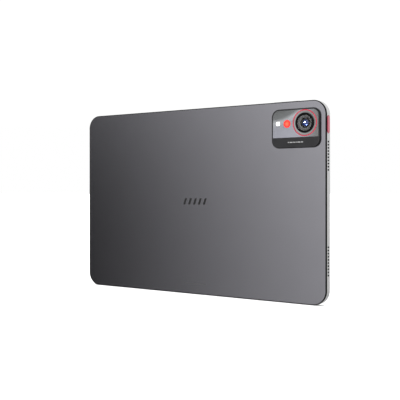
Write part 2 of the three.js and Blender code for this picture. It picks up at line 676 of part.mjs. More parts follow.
function mainBoard() {
  const [low, high] = BOARD_Y;
  const [left, right] = MAIN_BOARD.x;
  const card = prism("y", rectangle([left, right], MAIN_BOARD.z, MAIN_BOARD.corner, 3), low, high);
  const through = [low - PAST, high + PAST];
  const cameraBay = box([right - 2, right + PAST], through, MAIN_BOARD.cameraBay);
  const holes = SCREWS.map((at) => prism("y", disc(at.x, at.y, SCREW.clearance, 12), ...through));
  const frontY = [high - 0.1, high + 0.3];
  const sockets = [
    box([86, 91.5], frontY, [DISPLAY_FLEX.z[0] + 1, DISPLAY_FLEX.z[1] - 1]),
    box([88, 89.8], frontY, span(LENS.z - 0.4, 8)),
    box([68.1, 72], [low - 0.6, low + 0.1], span(USB.z, LINK_FLEX.height + 1)),
  ];
  add("main_board", join(cut(card, cameraBay, holes), sockets), boardGreen);
  for (const [name, { x, z, height }] of Object.entries(SHIELDS)) {
    const lid = { round: 0.3, steps: 1, ends: [true, false] };
    add(`${name}_shield`, prism("y", rectangle(x, z, 1, 3), ...under(BOARD_Y, height), lid), steel);
  }
}

// ---------- Ports ----------

function usbPort() {
  const mouth = -RIGHT + WALL + 0.1;
  const back = mouth + USB.depth;
  const section = (inset) => {
    const height = USB.height - 2 * inset;
    return rectangle(span(USB.y, height), span(USB.z, USB.width - 2 * inset), height / 2 - 0.01);
  };
  const bore = prism("x", section(USB.sheet), mouth - PAST, back - 0.5);
  const sleeve = cut(prism("x", section(0), mouth, back), bore);
  add("usb_c_shell", sleeve, steel);
  const tongue = box([mouth + 0.9, back - 0.55], span(USB.y, 0.7), span(USB.z, 6.6));
  add("usb_c_tongue", tongue, blackPlastic);
  const card = box([back + SEAM, back + USB_BOARD.length], BOARD_Y, span(USB.z, USB_BOARD.height));
  const controller = box([back + 5, back + 9], [BOARD_Y[0] - 0.9, BOARD_Y[0] + 0.1], span(USB.z + 11, 6));
  add("usb_board", join(card, controller), boardGreen);

  // The link runs from board to board, and dips behind the battery on the way.
  const onBoard = BOARD_Y[0] - LINK_FLEX.clear;
  const behindBattery = BATTERY_Y[0] - LINK_FLEX.clear;
  const left = CELL.left - 1.2;
  const right = MAIN_BOARD.x[0] - 2.6;
  const slant = 1.2;
  const path = [
    [back + 5, onBoard],
    [left - slant, onBoard],
    [left, behindBattery],
    [right, behindBattery],
    [right + slant, onBoard],
    [MAIN_BOARD.x[0] + 2, onBoard],
  ];
  add("link_flex", ribbon(path, LINK_FLEX.thickness, span(USB.z, LINK_FLEX.height)), flexAmber);
}

// Sprung-pin contacts for a keyboard that clips to the lower edge.
function keyboardContacts() {
  const places = [-1, 0, 1].map((i) => i * POGO.pitch);
  const plugOutline = rectangle(span(0, POGO.width), span(SIDE_LINE, POGO.height), 1.4);
  const flangeOutline = rectangle(span(0, POGO.flange[0]), span(SIDE_LINE, POGO.flange[1]), 1);
  const plug = prism("z", plugOutline, 0.1, POGO.depth);
  const flange = prism("z", flangeOutline, WALL + 0.1, POGO.depth);
  const bore = disc(0, SIDE_LINE, POGO.radius + SEAM, 20);
  const bores = places.map((x) => prism("z", bore, -PAST, POGO.depth + PAST).translate([x, 0, 0]));
  add("contact_insert", cut(join(plug, flange), bores), blackPlastic);
  const dome = { round: 0.15, steps: 1, ends: [true, false] };
  const pad = prism("z", disc(0, SIDE_LINE, POGO.radius, 20), 0.12, POGO.depth + 0.5, dome);
  places.forEach((x, i) => {
    add(`contact_pad_${i + 1}`, pad, gold).position.set(x, 0, 0);
  });
}

// ---------- Assembly ----------

rearCover();
sideFrame();
display();
midPlate();
boardScrews();
antennas();
cameraIsland();
rearCamera();
frontCamera();
keys();
speakers();
battery();
mainBoard();
usbPort();
keyboardContacts();

export default tablet;
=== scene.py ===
"""A 10.9 inch class tablet computer, standing in landscape: its looks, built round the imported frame.

Sizes are in millimetres, and become metres when a mesh is made. As in the frame, +X runs along the long
edge, +Y through the thickness from the rear cover to the screen, and +Z is up.
"""

import math

import bmesh
import bpy
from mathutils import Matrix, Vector


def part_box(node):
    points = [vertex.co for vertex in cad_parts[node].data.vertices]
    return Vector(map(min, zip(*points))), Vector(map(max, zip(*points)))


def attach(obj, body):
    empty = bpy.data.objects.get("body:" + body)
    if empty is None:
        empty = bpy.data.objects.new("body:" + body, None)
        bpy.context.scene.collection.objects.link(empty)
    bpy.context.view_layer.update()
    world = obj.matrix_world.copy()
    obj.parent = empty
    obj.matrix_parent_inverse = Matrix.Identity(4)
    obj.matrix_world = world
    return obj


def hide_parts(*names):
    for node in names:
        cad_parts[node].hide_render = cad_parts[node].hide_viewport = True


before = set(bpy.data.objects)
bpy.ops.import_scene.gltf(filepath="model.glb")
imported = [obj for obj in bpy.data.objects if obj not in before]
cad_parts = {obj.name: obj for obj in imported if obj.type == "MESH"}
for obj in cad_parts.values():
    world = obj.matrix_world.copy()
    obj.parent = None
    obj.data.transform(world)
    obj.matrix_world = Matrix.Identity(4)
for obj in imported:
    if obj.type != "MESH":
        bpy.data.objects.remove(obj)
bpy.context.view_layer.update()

MM = 0.001
BODY = "body"


# ---------- Sizes from the frame ----------


class Box:
    """A CAD node's box, in millimetres."""

    def __init__(self, node):
        low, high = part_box(node)
        self.x0, self.y0, self.z0 = (v / MM for v in low)
        self.x1, self.y1, self.z1 = (v / MM for v in high)
        self.x, self.y, self.z = ((a + b) / 2 / MM for a, b in zip(low, high))


COVER = Box("rear_cover")
BAND = Box("side_frame")
GLASS = Box("cover_glass")
ADHESIVE = Box("display_adhesive")
TRIM = Box("camera_trim")
PLATE = Box("camera_plate")
BEZEL = Box("lens_bezel")
POWER = Box("power_button")
VOLUME = Box("volume_rocker")

# Sizes that the boxes don't give, as in the CAD model.
CORNER = 12
WALL = 1.8
POCKET = 1.1
SHELF = 3
SEAM = 0.05
COVER_ROUND = 0.8
GLASS_INSET = 1.25
LIT_AREA = (117.4, 73.4)  # half its width and height
FRONT_CAMERA_Z = 160
SIDE_LINE = 0.25  # keys, slots and contacts are centred here
SPEAKER_SLOT = (2.8, 1.4)  # across the side, and along it
SPEAKER_PITCH = 2.5
SPEAKER_COUNT = 10
MICROPHONE_X = 36
MICROPHONE_RADIUS = 0.5
KEY_WIDTH = VOLUME.y1 - VOLUME.y0  # both keys are as wide as the rocker's flange
KEY_FIT = 0.15
PIN_LENGTH = 1.3
POWER_LENGTH = 14.2
VOLUME_LENGTH = 24
PORT_FIT = 0.15
PORT_CORNER = 1.7
PORT_SHEET = 0.35
STRIP = (16.2, 3.4)
PAD_RADIUS = 1.1
ISLAND_CORNER = 6.5
ISLAND_ROUND = 1.0
FLASH_CORNER = 0.7
BARREL_BORE = 4.3
FRONT_LENS_RADIUS = 2.55
CARRIAGE = "lens_carriage"

# Sizes of the finer detail.
DARK_EDGE = 0.6  # how far the near-black edge, painted shade, runs onto the side
FLARE = 0.06  # how much wider a hole's mouth is, and how deep its chamfer
ACCENT_WIDTH = 0.85
FRONT_LENS_RISE = 0.42
TREAD_RUN = 0.45  # of the baffle's treads, from one to the next
TREAD_RISE = 0.13
PLATE_REFLECTION_CURVE = 0.0145  # how fast the edge of the plate's painted reflection curves away, per millimetre
PLATE_REFLECTION_START = 13.2  # the height of the painted reflection's edge above the plate's lower edge
PORT_PADS = 12
PORT_PAD_PITCH = 0.5
MARK_BAR = (2.2, 5.6)
MARK_PITCH = 5.3
MARK_SLANT = 0.35
REAR_DASHES = dict(middle=0, z=9.3, length=24, height=0.45)
BAND_DASHES = dict(middle=101, z=131, length=15, height=0.8)
DASH_LENGTHS = (1.4, 3.2, 2.2)  # in heights of the row
DASH_GAP = 0.7
PRINT_HEIGHT = 0.008
SHARP = 0.01  # the radius of a corner that is left square
PAST = 1  # how far a cutter runs past the face that it opens
FINE = 96  # sides of the large rings


# ---------- Outlines, profiles and solids ----------


def rounded(u, v, radius, inset, steps):
    """A rectangle's outline, anticlockwise from its lower left corner. radius is one number or four."""
    radii = radius if isinstance(radius, tuple) else (radius,) * 4
    corners = ((u[0], v[0], 1, 1), (u[1], v[0], -1, 1), (u[1], v[1], -1, -1), (u[0], v[1], 1, -1))
    points = []
    for i, (cu, cv, su, sv) in enumerate(corners):
        r = max(radii[i] - inset, SHARP)
        for k in range(steps + 1):
            angle = math.pi + (i + k / steps) * math.pi / 2
            pu = cu + su * (inset + r) + r * math.cos(angle)
            pv = cv + sv * (inset + r) + r * math.sin(angle)
            points.append((pu, pv))
    return points


def circle(u, v, radius, inset, steps):
    angles = [2 * math.pi * k / steps for k in range(steps)]
    return [(u + (radius - inset) * math.cos(a), v + (radius - inset) * math.sin(a)) for a in angles]


def rounded_outline(u, v, radius, steps=16):
    """What loft wants: the rounded rectangle as a function of its inset."""
    return lambda inset: rounded(u, v, radius, inset, steps)


def round_outline(u, v, radius, steps=64):
    return lambda inset: circle(u, v, radius, inset, steps)


def span(middle, length):
    return (middle - length / 2, middle + length / 2)


def arc(centre, radius, start, end, steps):
    """Profile points along an arc, whose angles are in degrees."""
    angles = [math.radians(start + (end - start) * k / steps) for k in range(steps + 1)]
    return [(centre[0] + radius * math.cos(a), centre[1] + radius * math.sin(a)) for a in angles]


def domed(radius, front, rise, sweep=1.2, steps=10):
    """Profile points of a dome that faces -Y, from its top to its rim. sweep is its half angle in radians."""
    angles = [sweep * k / steps for k in range(steps + 1)]
    return [
        (radius * math.sin(a) / math.sin(sweep), front + rise * (1 - math.cos(a)) / (1 - math.cos(sweep)))
        for a in angles
    ]


PLACE = {
    "x": lambda u, v, w: (w, u, v),
    "y": lambda u, v, w: (u, w, v),
    "z": lambda u, v, w: (u, v, w),
}


def loft(axis, outline, profile):
    """Rings of points: the outline at each (inset, station) of the profile, with stations along axis."""
    return [[PLACE[axis](u, v, w) for u, v in outline(inset)] for inset, w in profile]


def turned(centre, profile, axis="y", steps=64):
    """Rings of points for a body of revolution, from (radius, station) pairs."""
    u, v = centre
    return [[PLACE[axis](a, b, w) for a, b in circle(u, v, max(r, SHARP), 0, steps)] for r, w in profile]


def shell(bm, rings, closed, bands=()):
    """Adds one closed surface through the rings. bands are (material index, first ring, last ring)."""
    rows = [[bm.verts.new(Vector(p) * MM) for p in ring] for ring in rings]
    count = len(rows[0])
    following = rows[1:] + rows[:1] if closed else rows[1:]
    for index, (a, b) in enumerate(zip(rows, following)):
        tone = next((m for m, first, last in bands if first <= index < last), 0)
        for i in range(count):
            j = (i + 1) % count
            bm.faces.new((a[i], a[j], b[j], b[i])).material_index = tone
    if not closed:
        bm.faces.new(rows[0])
        bm.faces.new(list(reversed(rows[-1])))


def mesh_of(name, shells, closed=False, bands=()):
    bm = bmesh.new()
    for rings in shells:
        shell(bm, rings, closed, bands)
    bmesh.ops.remove_doubles(bm, verts=bm.verts, dist=1e-7)
    bmesh.ops.recalc_face_normals(bm, faces=bm.faces)
    mesh = bpy.data.meshes.new(name)
    bm.to_mesh(mesh)
    bm.free()
    return mesh


def link(name, data):
    obj = bpy.data.objects.new(name, data)
    bpy.context.scene.collection.objects.link(obj)
    return obj


def carve(obj, cutters, tone):
    """Cuts closed shells out of obj.

    tone is the material index of the cut walls, past each cutter's mouth.
    """
    tool = link("cutter", mesh_of("cutter", cutters, bands=[(tone, 1, 2)] if tone else ()))
    for slot in obj.material_slots:
        tool.data.materials.append(slot.material)
    cut = obj.modifiers.new("carve", "BOOLEAN")
    cut.object = tool
    cut.operation = "DIFFERENCE"
    cut.solver = "EXACT"
    cut.use_self = True
    graph = bpy.context.evaluated_depsgraph_get()
    carved = bpy.data.meshes.new_from_object(obj.evaluated_get(graph))
    obj.modifiers.clear()
    obj.data = carved
    bpy.data.objects.remove(tool)


def piece(
    name,
    shells,
    materials,
    body=BODY,
    closed=False,
    bands=(),
    cutters=(),
    tone=0,
    stands_for=(),
    sharp=32,
):
    """A finished piece of the object, from closed shells of rings."""
    obj = link(name, mesh_of(name, shells, closed, bands))
    for material in materials if isinstance(materials, list) else [materials]:
        obj.data.materials.append(material)
    if cutters:
        carve(obj, cutters, tone)
    obj.data.shade_smooth()
    obj.data.set_sharp_from_angle(angle=math.radians(sharp))
    weighted = obj.modifiers.new("weighted", "WEIGHTED_NORMAL")
    weighted.keep_sharp = True
    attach(obj, body)
    if stands_for:
        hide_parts(*stands_for)


# ---------- Materials ----------


class Nodes:
    """A node tree, and short ways to add to it."""

    def __init__(self, tree):
        self.tree = tree

    def node(self, kind, **settings):
        made = self.tree.nodes.new(kind)
        for key, value in settings.items():
            setattr(made, key, value)
        return made

    def feed(self, source, socket):
        self.tree.links.new(source, socket)

    def spread(self, source, low, high, start=0.3, end=0.7, interpolation="LINEAR"):
        """source, carried from start..end to low..high."""
        made = self.node("ShaderNodeMapRange", interpolation_type=interpolation)
        for key, value in (("From Min", start), ("From Max", end), ("To Min", low), ("To Max", high)):
            made.inputs[key].default_value = value
        self.feed(source, made.inputs["Value"])
        return made.outputs["Result"]

    def split(self, vector):
        made = self.node("ShaderNodeSeparateXYZ")
        self.feed(vector, made.inputs["Vector"])
        return made.outputs

    def maths(self, operation, a, b):
        made = self.node("ShaderNodeMath", operation=operation)
        for value, socket in zip((a, b), made.inputs):
            if isinstance(value, (int, float)):
                socket.default_value = value
            else:
                self.feed(value, socket)
        return made.outputs["Value"]


class Look(Nodes):
    """A procedural material. Textures are laid in object space, with sizes in millimetres."""

    def __init__(self, name, **values):
        self.material = bpy.data.materials.new(name)
        self.material.use_nodes = True
        super().__init__(self.material.node_tree)
        self.shader = self.tree.nodes["Principled BSDF"]
        for key, value in values.items():
            self.shader.inputs[key.replace("_", " ")].default_value = value
        self.coordinates = self.node("ShaderNodeTexCoord").outputs["Object"]

    def space(self, size, stretch=(1, 1, 1)):
        """Object space in which one unit is size millimetres, stretched along each axis."""
        mapping = self.node("ShaderNodeMapping")
        mapping.inputs["Scale"].default_value = [1 / (size * MM * s) for s in stretch]
        self.feed(self.coordinates, mapping.inputs["Vector"])
        return mapping.outputs["Vector"]

    def texture(self, kind, size, stretch=(1, 1, 1), output=0, settings=None, **values):
        made = self.node(kind, **(settings or {}))
        self.feed(self.space(size, stretch), made.inputs["Vector"])
        for key, value in values.items():
            made.inputs[key].default_value = value
        return made.outputs[output]

    def noise(self, size, stretch=(1, 1, 1), detail=3.0):
        return self.texture("ShaderNodeTexNoise", size, stretch, Scale=1.0, Detail=detail)

    def cells(self, size):
        return self.texture("ShaderNodeTexVoronoi", size, output="Distance", Scale=1.0)

    def ramp(self, source, *stops):
        made = self.node("ShaderNodeValToRGB")
        elements = made.color_ramp.elements
        while len(elements) < len(stops):
            elements.new(0.5)
        for element, (position, colour) in zip(elements, stops):
            element.position = position
            element.color = (*colour, 1)
        self.feed(source, made.inputs["Fac"])
        return made.outputs["Color"]

    def blend(self, factor, a, b):
        """A colour from a to b. Each is a colour or a socket."""
        made = self.node("ShaderNodeMix", data_type="RGBA")
        self.feed(factor, made.inputs["Factor"])
        first, second = (socket for socket in made.inputs if socket.type == "RGBA")
        for value, socket in ((a, first), (b, second)):
            if isinstance(value, tuple):
                socket.default_value = (*value, 1)
            else:
                self.feed(value, socket)
        return next(socket for socket in made.outputs if socket.type == "RGBA")

    def colour(self, source):
        self.feed(source, self.shader.inputs["Base Color"])

    def rough(self, source, low, high):
        self.feed(self.spread(source, low, high), self.shader.inputs["Roughness"])

    def bump(self, source, depth, strength):
        made = self.node("ShaderNodeBump")
        made.inputs["Strength"].default_value = strength
        made.inputs["Distance"].default_value = depth * MM
        self.feed(source, made.inputs["Height"])
        self.feed(made.outputs["Normal"], self.shader.inputs["Normal"])


def surface(name, dark, light, roughness, grain, depth, metallic=0.0, stretch=(1, 1, 1), **values):
    """The common finish: slow variation of colour, and a fine grain in roughness and relief."""
    look = Look(name, Metallic=metallic, **values)
    look.colour(look.ramp(look.noise(PATCHES), (0.3, dark), (0.7, light)))
    fine = look.noise(grain, stretch)
    look.rough(fine, roughness - 0.05, roughness + 0.05)
    look.bump(fine, depth, 0.6)
    return look


def shade(value, tint=(1, 1, 1)):
    return tuple(value * t for t in tint)


COOL = (0.985, 0.972, 1.055)
PATCHES = 18  # millimetres across the slow variation of colour
DULL = {"Specular_IOR_Level": 0.3}
GLOSSED = {"Coat_Weight": 1.0}

REAR_METAL = surface("rear_metal", shade(0.426, COOL), shade(0.436, COOL), 0.20, 0.14, 0.002, 1.0)
FRAME_METAL = surface("frame_metal", shade(0.55), shade(0.59), 0.30, 0.12, 0.002, 1.0)
# Painted shade: near-black metal that stands in for the shade along the rounded rear edge and the strip
# beside it.
EDGE_PAINTED_SHADE = surface("edge_painted_shade", shade(0.004), shade(0.007), 0.16, 0.3, 0.001, 1.0)
# Painted shade: near-black walls inside the holes, and risers between the lens treads, where shade would
# fall.
RECESS_PAINTED_SHADE = surface("recess_painted_shade", shade(0.006), shade(0.010), 0.6, 0.2, 0.004)
RIM_METAL = surface("rim_metal", shade(0.012), shade(0.018), 0.22, 0.2, 0.002, 1.0)
BAND_PAINT = surface("band_paint", shade(0.018, COOL), shade(0.023, COOL), 0.45, 0.1, 0.003, **DULL)
BEZEL_METAL = surface("bezel_metal", shade(0.010), shade(0.016), 0.18, 0.08, 0.002, 1.0)
STEP_METAL = surface("step_metal", shade(0.36), shade(0.44), 0.12, 0.05, 0.001, 1.0)
SHROUD_METAL = surface("shroud_metal", shade(0.20), shade(0.26), 0.30, 0.1, 0.003, 0.8)
RED_METAL = surface("red_metal", (0.36, 0.02, 0.05), (0.44, 0.03, 0.07), 0.30, 0.1, 0.003, 0.7, **GLOSSED)
RING_METAL = surface("ring_metal", (0.55, 0.03, 0.06), (0.65, 0.05, 0.09), 0.25, 0.1, 0.002, 0.5)
STEEL = surface("steel", shade(0.50), shade(0.60), 0.32, 0.25, 0.004, 1.0, (1, 1, 12))
SHEET_METAL = surface("sheet_metal", shade(0.55), shade(0.62), 0.38, 0.3, 0.004, 1.0, (16, 1, 1))
DARK_METAL = surface("dark_metal", shade(0.03), shade(0.05), 0.35, 0.12, 0.003, 1.0)
BLACK_PLASTIC = surface("black_plastic", shade(0.010), shade(0.014), 0.5, 0.25, 0.008)
TAPE = surface("foam_tape", shade(0.008), shade(0.014), 0.85, 0.12, 0.02)
CONE_FILM = surface("cone_film", shade(0.02), shade(0.03), 0.4, 1.2, 0.02)
GOLD = surface("contact_gold", (0.75, 0.52, 0.18), (0.85, 0.62, 0.26), 0.22, 0.2, 0.002, 1.0)
WHITE_LENS_PAINTED_GLOW = surface("white_lens", shade(0.86), (0.92, 0.91, 0.87), 0.25, 0.35, 0.03)
WHITE_FILM = surface("white_film", shade(0.75), shade(0.82), 0.3, 0.4, 0.01)
PRINT_DARK = surface("print_dark", shade(0.03), shade(0.04), 0.2, 0.1, 0.002, 0.6)
PRINT_FAINT = surface("print_faint", shade(0.09), shade(0.11), 0.4, 0.1, 0.002, 0.4)
PRINT_LIGHT = surface("print_light", shade(0.30), shade(0.36), 0.4, 0.1, 0.002)


# ---------- Casing ----------

tablet_outline = rounded_outline((COVER.x0, COVER.x1), (COVER.z0, COVER.z1), CORNER, 24)
island_outline = rounded_outline((TRIM.x0, TRIM.x1), (TRIM.z0, TRIM.z1), ISLAND_CORNER)


def rear_panel():
    edge = arc((COVER_ROUND, COVER.y0 + COVER_ROUND), COVER_ROUND, 180, 270, 8)
    profile = [(0.08, COVER.y1), (0, COVER.y1 - 0.05), *edge, (COVER_ROUND + 0.5, COVER.y0)]
    opening = loft("y", island_outline, [(-SEAM, COVER.y0 - PAST), (-SEAM, COVER.y1 + PAST)])
    piece(
        "rear_panel",
        [loft("y", tablet_outline, profile)],
        [REAR_METAL.material, EDGE_PAINTED_SHADE.material],
        bands=[(1, 1, len(profile) - 2)],  # the rounded edge, painted near-black as shade
        cutters=[opening],
        stands_for=["rear_cover"],
    )


def mouth(axis, outline, face, inward, depth):
    """A cutter for a hole with a chamfered mouth. face is the outer surface, and inward is +1 or -1."""
    stations = [(-2 * FLARE, -FLARE), (0, FLARE), (0, depth)]
    return loft(axis, outline, [(inset, face + inward * w) for inset, w in stations])


def speaker_slots():
    cutters = []
    width, length = SPEAKER_SLOT
    for face, inward, name in ((BAND.x1, -1, "right"), (BAND.x0, 1, "left")):
        for height in ("lower", "upper"):
            middle = Box(f"speaker_mesh_{height}_{name}").z
            for i in range(SPEAKER_COUNT):
                z = middle + (i - (SPEAKER_COUNT - 1) / 2) * SPEAKER_PITCH
                slot = rounded_outline(span(SIDE_LINE, width), span(z, length), length / 2, 10)
                cutters.append(mouth("x", slot, face, inward, WALL + 0.05))
    return cutters


def other_openings():
    """The openings for the two keys, the port, the contact strip and the microphones."""
    port = Box("usb_c_shell")
    across = span(SIDE_LINE, KEY_WIDTH + 2 * KEY_FIT)
    power = rounded_outline(across, span(POWER.z, POWER_LENGTH + 2 * KEY_FIT), KEY_WIDTH / 2, 10)
    volume = rounded_outline(span(VOLUME.x, VOLUME_LENGTH + 2 * KEY_FIT), across, KEY_WIDTH / 2, 10)
    socket = rounded_outline(
        (port.y0 - PORT_FIT, port.y1 + PORT_FIT), (port.z0 - PORT_FIT, port.z1 + PORT_FIT), PORT_CORNER, 10
    )
    strip = rounded_outline(span(0, STRIP[0]), span(SIDE_LINE, STRIP[1]), 1.5, 10)
    return [
        mouth("x", power, BAND.x1, -1, WALL + PAST),
        mouth("z", volume, BAND.z1, -1, WALL + PAST),
        mouth("x", socket, BAND.x0, 1, WALL + PAST),
        mouth("z", strip, BAND.z0, 1, WALL + PAST),
        *[
            mouth("z", round_outline(x, SIDE_LINE, MICROPHONE_RADIUS, 20), BAND.z1, -1, WALL + PAST)
            for x in (-MICROPHONE_X, MICROPHONE_X)
        ],
    ]


def side_band():
    top, bottom = ADHESIVE.y0 - 0.03, ADHESIVE.y0 - 0.5  # the shelf that carries the screen
    front = arc((0.3, BAND.y1 - 0.3), 0.3, 180, 90, 5)
    profile = [
        (0.06, BAND.y0),
        (0, BAND.y0 + 0.06),
        (0, BAND.y0 + DARK_EDGE),
        *front,
        (POCKET - 0.06, BAND.y1),
        (POCKET, BAND.y1 - 0.06),
        (POCKET, top),
        (SHELF, top),
        (SHELF, bottom),
        (WALL, bottom),
        (WALL, BAND.y0),
    ]
    piece(
        "side_band",
        [loft("y", tablet_outline, profile)],
        [FRAME_METAL.material, EDGE_PAINTED_SHADE.material, RECESS_PAINTED_SHADE.material],
        closed=True,
        bands=[(1, 0, 2)],  # the near-black strip beside the rear panel, painted shade
        cutters=speaker_slots() + other_openings(),
        tone=2,  # the holes' walls, painted near-black as shade
        stands_for=["side_frame"],
    )


def screen_glass():
    """Black glass, with the faint cells of the lit area inside its border."""
    look = Look("screen_glass", Roughness=0.04)
    place = look.split(look.space(1))
    half_width, half_height = LIT_AREA
    across = look.maths("SUBTRACT", half_width, look.maths("ABSOLUTE", place["X"], 0))
    from_middle = look.maths("SUBTRACT", place["Z"], GLASS.z)
    up = look.maths("SUBTRACT", half_height, look.maths("ABSOLUTE", from_middle, 0))
    inside = look.spread(look.maths("MINIMUM", across, up), 0, 1, -0.05, 0.05)
    cells = look.ramp(look.cells(0.12), (0.2, shade(0.0050)), (0.8, shade(0.0075, (0.9, 1, 1.25))))
    look.colour(look.blend(inside, shade(0.0018), cells))
    look.rough(look.noise(30), 0.03, 0.07)
    return look


def screen():
    profile = [
        (0.05, GLASS.y0),
        (0, GLASS.y0 + 0.05),
        *arc((0.25, GLASS.y1 - 0.25), 0.25, 180, 90, 6),
        (0.8, GLASS.y1),
    ]
    outline = rounded_outline((GLASS.x0, GLASS.x1), (GLASS.z0, GLASS.z1), CORNER - GLASS_INSET, 24)
    sheet = loft("y", outline, profile)
    piece("screen_sheet", [sheet], screen_glass().material, stands_for=["cover_glass"])
    pupil = [(1.7, GLASS.y1 - 0.1), (1.7, GLASS.y1), (1.55, GLASS.y1 + 0.02), (0, GLASS.y1 + 0.02)]
    window = turned((Box("front_camera").x, FRONT_CAMERA_Z), pupil)
    piece("front_camera_window", [window], LENS_BLUE.material)


# ---------- Camera island ----------

LENS = (BEZEL.x, BEZEL.z)
FACE = PLATE.y0
BEZEL_RADIUS = (BEZEL.x1 - BEZEL.x0) / 2


def coated_lens():
    """Dark glass with a blue coating that darkens towards the rim."""
    look = Look("lens_blue", Roughness=0.03, Coat_Weight=1.0, Coat_Roughness=0.02, Metallic=0.3)
    facing = look.node("ShaderNodeLayerWeight")
    facing.inputs["Blend"].default_value = 0.35
    centre, middle, rim = (0.02, 0.03, 0.12), (0.01, 0.02, 0.05), shade(0.004)
    look.colour(look.ramp(facing.outputs["Facing"], (0.0, centre), (0.5, middle), (1.0, rim)))
    look.rough(look.noise(2), 0.02, 0.05)
    return look


LENS_BLUE = coated_lens()


def plate_painted_reflection():
    """Glossy smoked glass, with a painted reflection in its colour, divided by a soft curve.

    The painted reflection is dark at its upper left, light below with a painted sheen streak along the curve,
    and dim past the lens.
    """
    look = Look("plate_painted_reflection", Roughness=0.08, Metallic=0.85, Coat_Weight=0.6, Coat_Roughness=0.03)
    place = look.split(look.space(1))
    across = look.maths("SUBTRACT", place["X"], PLATE.x0)
    curve = look.maths("MULTIPLY", look.maths("POWER", across, 2), PLATE_REFLECTION_CURVE)
    rise = look.maths("SUBTRACT", place["Z"], PLATE.z0 + PLATE_REFLECTION_START)
    # Painted reflection: the room reflected in the glass is drawn as colour, and the light stop at 0.40 is a
    # painted sheen streak along the curve.
    tone = look.ramp(
        look.spread(look.maths("SUBTRACT", rise, curve), 1, 0, -14, 8),
        (0.0, shade(0.17, (0.96, 1.0, 1.0))),
        (0.26, shade(0.22, (0.96, 1.0, 1.02))),
        (0.40, shade(0.55, (0.98, 1.0, 1.04))),
        (0.60, shade(0.44, (0.97, 0.98, 1.10))),
        (1.0, shade(0.48, (0.97, 0.98, 1.12))),
    )
    # Painted shade: the painted reflection dims past the lens.
    reflection_dim_past_lens = look.spread(place["X"], 0, 1, LENS[0] - 6, LENS[0] + 10)
    look.colour(look.blend(reflection_dim_past_lens, tone, shade(0.22)))
    look.rough(look.noise(12), 0.06, 0.12)
    return look


def island_openings(flash):
    """Cutters for the camera and the flash, which go through the frame and the plate alike."""
    radius = BEZEL_RADIUS + 0.1
    outline = rounded_outline(
        (flash.x0 - 0.1, flash.x1 + 0.1), (flash.z0 - 0.1, flash.z1 + 0.1), FLASH_CORNER + 0.1
    )
    start, end = TRIM.y0 - PAST, TRIM.y1 + PAST
    return [turned(LENS, [(radius, start), (radius, end)]), loft("y", outline, [(0, start), (0, end)])]


def island():
    flash, marker = Box("flash_window"), Box("red_marker")
    openings = island_openings(flash)
    edge = arc((ISLAND_ROUND, TRIM.y0 + ISLAND_ROUND), ISLAND_ROUND, 180, 270, 8)
    profile = [(0.05, TRIM.y1), (0, TRIM.y1 - 0.05), *edge, (ISLAND_ROUND + 0.15, TRIM.y0)]
    upper = ISLAND_CORNER - (PLATE.x0 - TRIM.x0)
    plate_outline = rounded_outline((PLATE.x0, PLATE.x1), (PLATE.z0, PLATE.z1), (SHARP, SHARP, upper, upper))
    pocket = loft("y", plate_outline, [(-SEAM, TRIM.y0 - PAST), (-SEAM, PLATE.y1 + 0.04)])
    piece(
        "island_frame",
        [loft("y", island_outline, profile)],
        [BAND_PAINT.material, RIM_METAL.material],
        bands=[(1, 0, 7)],  # the side wall and most of the rounded rim
        cutters=[pocket, *openings],
        stands_for=["camera_trim"],
    )
    marker_radius = (marker.x1 - marker.x0) / 2
    bore = marker_radius + SEAM
    sheet = [
        (0.02, PLATE.y1),
        (0, PLATE.y1 - 0.02),
        *arc((0.08, FACE + 0.08), 0.08, 180, 270, 3),
        (0.3, FACE),
    ]
    piece(
        "island_plate",
        [loft("y", plate_outline, sheet)],
        plate_painted_reflection().material,
        cutters=[*openings, turned((marker.x, marker.z), [(bore, TRIM.y0 - PAST), (bore, 0)])],
        stands_for=["camera_plate"],
    )
    red_marker(marker, marker_radius)
    flash_lamp(flash)


def marker_painted_highlight(marker, radius):
    """Glossy red, turning to a lighter orange at the middle of the disc: a painted highlight."""
    look = Look("marker_painted_highlight", Roughness=0.3, Coat_Weight=0.3, Coat_Roughness=0.1)
    gradient = look.node("ShaderNodeTexGradient", gradient_type="SPHERICAL")
    place = look.node("ShaderNodeMapping")
    place.inputs["Scale"].default_value = [1 / (radius * MM)] * 3
    place.inputs["Location"].default_value = [-v / radius for v in (marker.x, marker.y0, marker.z)]
    look.feed(look.coordinates, place.inputs["Vector"])
    look.feed(place.outputs["Vector"], gradient.inputs["Vector"])
    # Painted highlight: lighter orange towards the middle of the disc.
    look.colour(look.ramp(gradient.outputs["Fac"], (0.15, (0.90, 0.012, 0.01)), (0.85, (0.95, 0.13, 0.06))))
    look.rough(look.noise(0.4), 0.2, 0.3)
    return look


def red_marker(marker, radius):
    dished = [
        (radius, marker.y1),
        (radius, marker.y0 + 0.15),
        (radius - 0.12, marker.y0 + 0.04),
        (radius - 0.4, marker.y0),
        (radius - 0.9, marker.y0 + 0.02),
        (radius * 0.4, marker.y0 + 0.08),
        (0, marker.y0 + 0.09),
    ]
    disc = turned((marker.x, marker.z), dished)
    piece("marker_disc", [disc], marker_painted_highlight(marker, radius).material, stands_for=["red_marker"])


